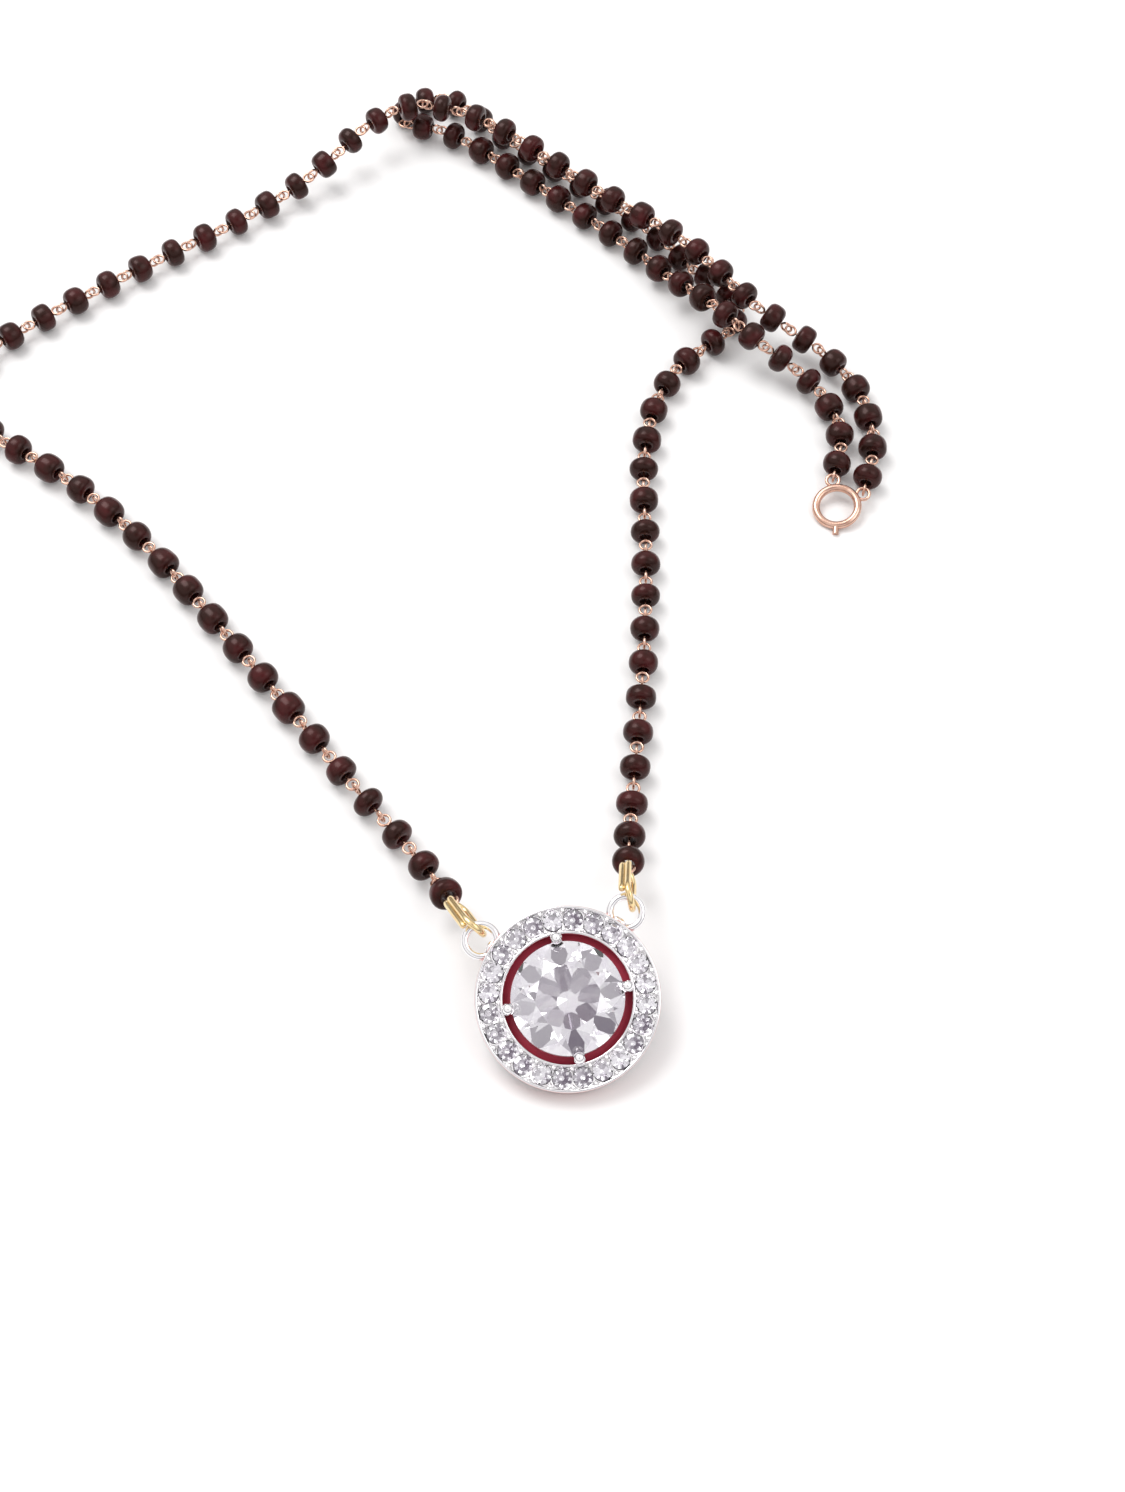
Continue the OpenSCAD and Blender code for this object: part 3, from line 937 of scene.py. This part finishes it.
    def basket(self) -> list[Surface]:
        """The rings, the plate that joins them to the halo, and the struts under the stone."""
        wire_r = self.basket_wire_d / 2
        foot_r = self.foot_ring_d / 2
        foot_z = self.girdle_z - self.pavilion_share * self.stone_d + self.foot_rise
        top = np.array([self.hole_d / 2 - self.prong_d / 2, 0, self.strut_top])
        foot = np.array([foot_r, 0, foot_z])
        path = foot + (top - foot) * np.linspace(0, 1, 5)[:, None]
        strut = tube(path, np.full(5, wire_r * self.strut_wire), 12)
        gallery_r = self.hole_d / 2 - self.prong_d + self.solder
        gallery = ring(gallery_r, wire_r * self.gallery_wire, 96)
        plate = flat_ring(self.hole_d / 2 + self.solder, self.plate_hole_d / 2, self.plate_z,
                          self.plate_z + self.plate_h)
        return [ring(foot_r, wire_r, 40).moved(0, 0, foot_z),
                gallery.moved(0, 0, self.girdle_z - self.gallery_drop), plate,
                *(strut.turned(TAU * k / 4) for k in range(4))]

    def loops(self) -> list[Surface]:
        """The two loops, each with the solder that joins it to the halo."""
        wire_r = self.loop_wire_d / 2
        loop_r = self.loop_d / 2 - wire_r
        middle = self.halo_h / 2
        loop = ring(loop_r, wire_r, 64, 16).moved(self.halo_d / 2 + loop_r - wire_r, 0, middle)
        blob = ball(wire_r * self.blob_share, 20, 11)
        blob = Surface(blob.points * self.blob_stretch, blob.faces)
        one = joined([loop, blob.moved(self.halo_d / 2 + wire_r * self.blob_clear, 0, middle)])
        return [one.turned(math.pi / 2 + side * self.loop_angle) for side in (-1, 1)]

    @staticmethod
    def tipped(tip: Array) -> Array:
        """Axes whose Z leans from upright by the two slopes of the tip."""
        normal = np.array([*tip, 1.0])
        normal /= np.linalg.norm(normal)
        across = np.cross([0.0, 1.0, 0.0], normal)
        across /= np.linalg.norm(across)
        return np.stack([across, np.cross(normal, across), normal])

    def brilliant(self) -> Surface:
        """The centre stone: table, stars, kites, upper and lower girdle facets and mains."""
        radius = self.stone_d / 2
        crown_z = self.girdle_z + self.girdle_h
        table_z = crown_z + self.crown_h_share * self.stone_d
        culet_z = self.girdle_z - self.pavilion_share * self.stone_d
        cutter = Cutter(radius, culet_z, table_z, 64)
        half_step = TAU / 16
        girdle_r = radius * self.girdle_place
        crown = math.atan2(table_z - crown_z, radius * self.crown_run)
        pavilion = math.atan2(self.girdle_z - culet_z, radius)
        cutter.facets(8, 0, crown, radius, crown_z)
        cutter.facets(8, half_step, crown * self.star_slope, radius * self.star_place, table_z)
        cutter.facets(16, half_step / 2, crown * self.upper_slope, girdle_r, crown_z)
        cutter.facets(8, 0, -pavilion, girdle_r, self.girdle_z)
        cutter.facets(16, half_step / 2, -pavilion * self.lower_slope, girdle_r, self.girdle_z)
        return cutter.surface()

    def small_brilliant(self) -> Surface:
        """One small stone, about its own girdle: a table and eight facets each side."""
        radius = self.small_d / 2
        table_z = self.small_crown * radius
        depth = self.small_depth * radius
        cutter = Cutter(radius, -depth, table_z, 32)
        crown = math.atan2(table_z, radius * (1 - self.small_table_share))
        edge = self.small_girdle_h / 2
        cutter.facets(8, 0, crown, radius, edge)
        cutter.facets(8, TAU / 16, crown * self.small_star_slope, radius * self.small_star_place,
                      table_z)
        cutter.facets(8, 0, -math.atan2(depth, radius), radius, -edge)
        return cutter.surface()

    def build(self, stone: bpy.types.Material, small_stone: bpy.types.Material) -> None:
        """Adds the metal and the stones in place of their solids."""
        metal = joined([self.halo(), *self.grains(), *self.prongs(), *self.basket(), *self.loops()])
        # The silver carries a painted rosy reflection on the outer wall and painted wine red shade
        # in the gap.
        silver = SettingMetal("silver", tone=(0.95, 0.94, 0.95), second_tone=(0.92, 0.89, 0.9),
                              gloss=0.06, worn_gloss=0.16, origin=tuple(self.origin),
                              axis=tuple(self.axes[2]), outer_r=self.halo_d / 2,
                              gap_r=self.hole_d / 2).material()
        metal = metal.placed(self.axes, self.origin)
        piece = add_piece("pendant_metal", metal, silver, Slot.SILVER)
        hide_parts("pendant_frame")
        centre = self.brilliant().placed(self.axes, self.origin)
        piece = add_piece("centre_brilliant", centre, stone, Slot.CLEAR_STONE, smooth=False)
        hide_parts("centre_stone")
        one = self.small_brilliant()
        seat = np.array([self.small_place_r, 0, self.halo_h - self.seat_drop])
        draw = np.random.default_rng(self.small_seed)
        spins = draw.uniform(0, TAU / 8, self.small_count)
        tips = draw.uniform(-self.small_tip, self.small_tip, (self.small_count, 2))
        row = joined([one.turned(spin).placed(self.tipped(tip), seat).turned(turn)
                      for turn, spin, tip in zip(self.small_turns(), spins, tips)])
        row = row.placed(self.axes, self.origin)
        piece = add_piece("halo_brilliants", row, small_stone, Slot.CLEAR_STONE, smooth=False)
        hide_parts("halo_stones")


@dataclass
class OvalRing:
    """The long ring between a loop and its strand, wound once and a half from one wire."""

    side: Side
    roll: float
    length: float = 5.3 * MM
    width: float = 2.6 * MM
    wire_d: float = 0.54 * MM
    rise: float = 0.486 * MM
    overlap: float = math.radians(26)
    bend_points: int = 30
    climb: float = 1.3
    cut_end: float = 0.55
    next_to_end: float = 0.9
    end_share: float = 0.1

    def own_frame(self) -> tuple[Array, Array]:
        """Its own frame, from its solid.

        X runs between the mean points of the two ends, away from the centre
        stone. Y is level and then turned about X by the roll.

        Returns:
            The unit rows X, Y and Z, and the place of its middle.
        """
        points = solids_of(f"oval_ring_{self.side.value}")[0]
        along = np.linalg.svd(points - points.mean(axis=0), full_matrices=False)[2][0]
        low_corner, high_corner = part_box("centre_stone")
        from_stone = points.mean(axis=0) - (np.array(low_corner) + np.array(high_corner)) / 2
        along *= np.sign(along @ from_stone)
        for _ in range(4):
            reach = points @ along
            share = (reach - reach.min()) / np.ptp(reach)
            far, near = points[share > 1 - self.end_share], points[share < self.end_share]
            along = far.mean(axis=0) - near.mean(axis=0)
            along /= np.linalg.norm(along)
        level = np.cross([0.0, 0.0, 1.0], along)
        level /= np.linalg.norm(level)
        upright = np.cross(along, level)
        c, s = math.cos(self.roll), math.sin(self.roll)
        axes = np.stack([along, c * level + s * upright, c * upright - s * level])
        local = points @ axes.T
        middle = (local.min(axis=0) + local.max(axis=0)) / 2
        middle[2] = local[:, 2].min() + self.wire_d / 2
        return axes, middle @ axes

    def bend(self, end: int, first: float, last: float, count: int) -> Array:
        """Points round one of its ends from the first angle to the last, as X and Y.

        Args:
            end: -1 for the end at the loop and 1 for the one at the strand.
            first: Angle of the first point, in radians.
            last: Angle of the last point.
            count: How many points.
        """
        end_r = (self.width - self.wire_d) / 2
        turn = np.linspace(first, last, count)
        return np.stack([end * (self.length - self.width) / 2 + end_r * np.cos(turn),
                         end_r * np.sin(turn)], axis=-1)

    def path(self) -> Array:
        """The wire's centre line in its own frame.

        It starts a little way round the loop's end, goes out along the +Y side,
        round the strand's end and back, and round the loop's end again, where it
        rises smoothly, to end beside its own first side.
        """
        quarter = TAU / 4
        few = self.bend_points // 4
        flat = np.concatenate([
            self.bend(-1, quarter + self.overlap, quarter, few),
            self.bend(1, quarter, -quarter, self.bend_points),
            self.bend(-1, 3 * quarter, quarter, self.bend_points),
            self.bend(1, quarter, quarter - self.overlap, few)])
        t = np.zeros(len(flat))
        second = few + self.bend_points
        t[second:second + self.bend_points] = np.linspace(0, self.climb, self.bend_points)
        t[second + self.bend_points:] = 1
        t = np.minimum(t, 1)
        return np.column_stack([flat, self.rise * t * t * (3 - 2 * t)])

    def build(self, gold: bpy.types.Material) -> None:
        """Adds the ring in place of its solid."""
        path = self.path()
        radii = np.full(len(path), self.wire_d / 2)
        radii[[0, -1]] *= self.cut_end
        radii[[1, -2]] *= self.next_to_end
        surface = tube(path, radii, 20, side=(0, 0, 1)).placed(*self.own_frame())
        piece = add_piece(f"gold_oval_ring_{self.side.value}", surface, gold, Slot.GOLD)
        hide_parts(f"oval_ring_{self.side.value}")


@dataclass
class Studio:
    """The floor, the soft light and the camera of the photograph."""

    target: Triple = (13.56 * MM, -23.0 * MM, 0.0)
    elevation: float = math.radians(58)
    distance: float = 184 * MM
    lens: float = 53.13
    sensor: float = 36.0
    floor_size: float = 3.0
    high: Triple = (1.0, 1.0, 1.0)
    low: Triple = (0.22, 0.22, 0.24)
    low_top: float = 0.12
    high_bottom: float = 0.42
    dark_half_angle: float = math.radians(18)
    dark: Triple = (0.2, 0.17, 0.21)
    dark_shift: Triple = (0.09, 0.12, 0.0)
    dark_edge: float = 20
    clip_start: float = 5 * MM

    def build_floor(self, material: bpy.types.Material) -> None:
        """Adds the floor, which isn't part of the object."""
        half = self.floor_size / 2
        corners = [(-half, -half, 0), (half, -half, 0), (half, half, 0), (-half, half, 0)]
        mesh = bpy.data.meshes.new("floor")
        mesh.from_pydata(corners, [], [(0, 1, 2, 3)])
        mesh.materials.append(material)
        floor = bpy.data.objects.new("floor", mesh)
        bpy.context.scene.collection.objects.link(floor)

    def build_light(self, name: str, place: Triple, size: float,
                    power: float) -> None:
        """Adds a square soft light that faces the object.

        Args:
            name: Its name.
            place: Where it stands, in metres.
            size: Length of its side, in metres.
            power: Its power in watts.
        """
        data = bpy.data.lights.new(name, "AREA")
        data.size = size
        data.energy = power
        light = bpy.data.objects.new(name, data)
        light.location = place
        aim = Vector(self.target) - Vector(place)
        light.rotation_euler = aim.to_track_quat("-Z", "Y").to_euler()
        bpy.context.scene.collection.objects.link(light)

    @property
    def back(self) -> Vector:
        """The way from the target to the camera."""
        return Vector((0, -math.cos(self.elevation), math.sin(self.elevation)))

    def build_world(self) -> None:
        """Adds the light tent: white overhead, dim low down, dark in its opening."""
        world = bpy.data.worlds.new("studio")
        recipe = Recipe(world)
        way = recipe.node("ShaderNodeTexCoord").outputs["Generated"]
        rise = (recipe.along(way, (0, 0, 1)) - self.low_top) / (self.high_bottom - self.low_top)
        tent = recipe.colour(rise, self.low, self.high)
        edge = math.cos(self.dark_half_angle)
        middle = (self.back + Vector(self.dark_shift)).normalized()
        opening = (recipe.along(way, middle) - edge) * self.dark_edge
        light = recipe.colour(opening, tent, self.dark)
        background = recipe.node("ShaderNodeBackground", inputs={"Color": light})
        recipe.node("ShaderNodeOutputWorld", inputs={"Surface": background.outputs[0]})
        bpy.context.scene.world = world

    def build_camera(self) -> None:
        """Adds the camera, which looks down at the target from the near side."""
        data = bpy.data.cameras.new("camera")
        data.lens = self.lens
        data.sensor_width = self.sensor
        data.clip_start = self.clip_start
        camera = bpy.data.objects.new("camera", data)
        camera.location = Vector(self.target) + self.back * self.distance
        camera.rotation_euler = (-self.back).to_track_quat("-Z", "Y").to_euler()
        bpy.context.scene.collection.objects.link(camera)
        bpy.context.scene.camera = camera

    def build(self) -> None:
        """Adds all of it."""
        bpy.context.scene.view_settings.view_transform = "Standard"
        self.build_floor(PaleFloor().material())
        self.build_world()
        self.build_light("key_light", place=(-0.22, 0.2, 0.5), size=0.32, power=1.7)
        self.build_light("fill_light", place=(0.35, -0.1, 0.45), size=0.3, power=0.4)
        self.build_camera()


def dress_solid(name: str, material: bpy.types.Material) -> None:
    """Gives a CAD node that keeps its shape a finish.

    Args:
        name: The node.
        material: Its finish.
    """
    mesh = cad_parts[name].data
    mesh.materials.clear()
    mesh.materials.append(material)
    log.info("%s keeps its solid", name)


def main() -> None:
    """Builds the pieces in order, from the pendant along the chain."""
    logging.basicConfig(level=logging.INFO, format="%(name)s: %(message)s")
    small_stone = ClearStone("small_clear_stone")
    Pendant().build(ClearStone("clear_stone").material(), small_stone.material())
    glass = BlackGlass().material()
    pin_gold = Metal("pin_gold", tone=(0.72, 0.47, 0.375), second_tone=(0.62, 0.365, 0.27),
                     gloss=0.14, worn_gloss=0.28).material()
    ring_gold = Metal("ring_gold", tone=(0.9, 0.73, 0.42), second_tone=(0.84, 0.6, 0.3),
                      gloss=0.12, worn_gloss=0.24).material()
    for side, seed, roll in ((Side.LEFT, 15, 50), (Side.RIGHT, 16, 64)):
        Beads(side, seed).build(glass)
        dress_solid(f"pins_{side.value}", pin_gold)
        OvalRing(side, math.radians(roll)).build(ring_gold)
    dress_solid("clasp", pin_gold)
    Studio().build()


if __name__ == "__main__":
    main()
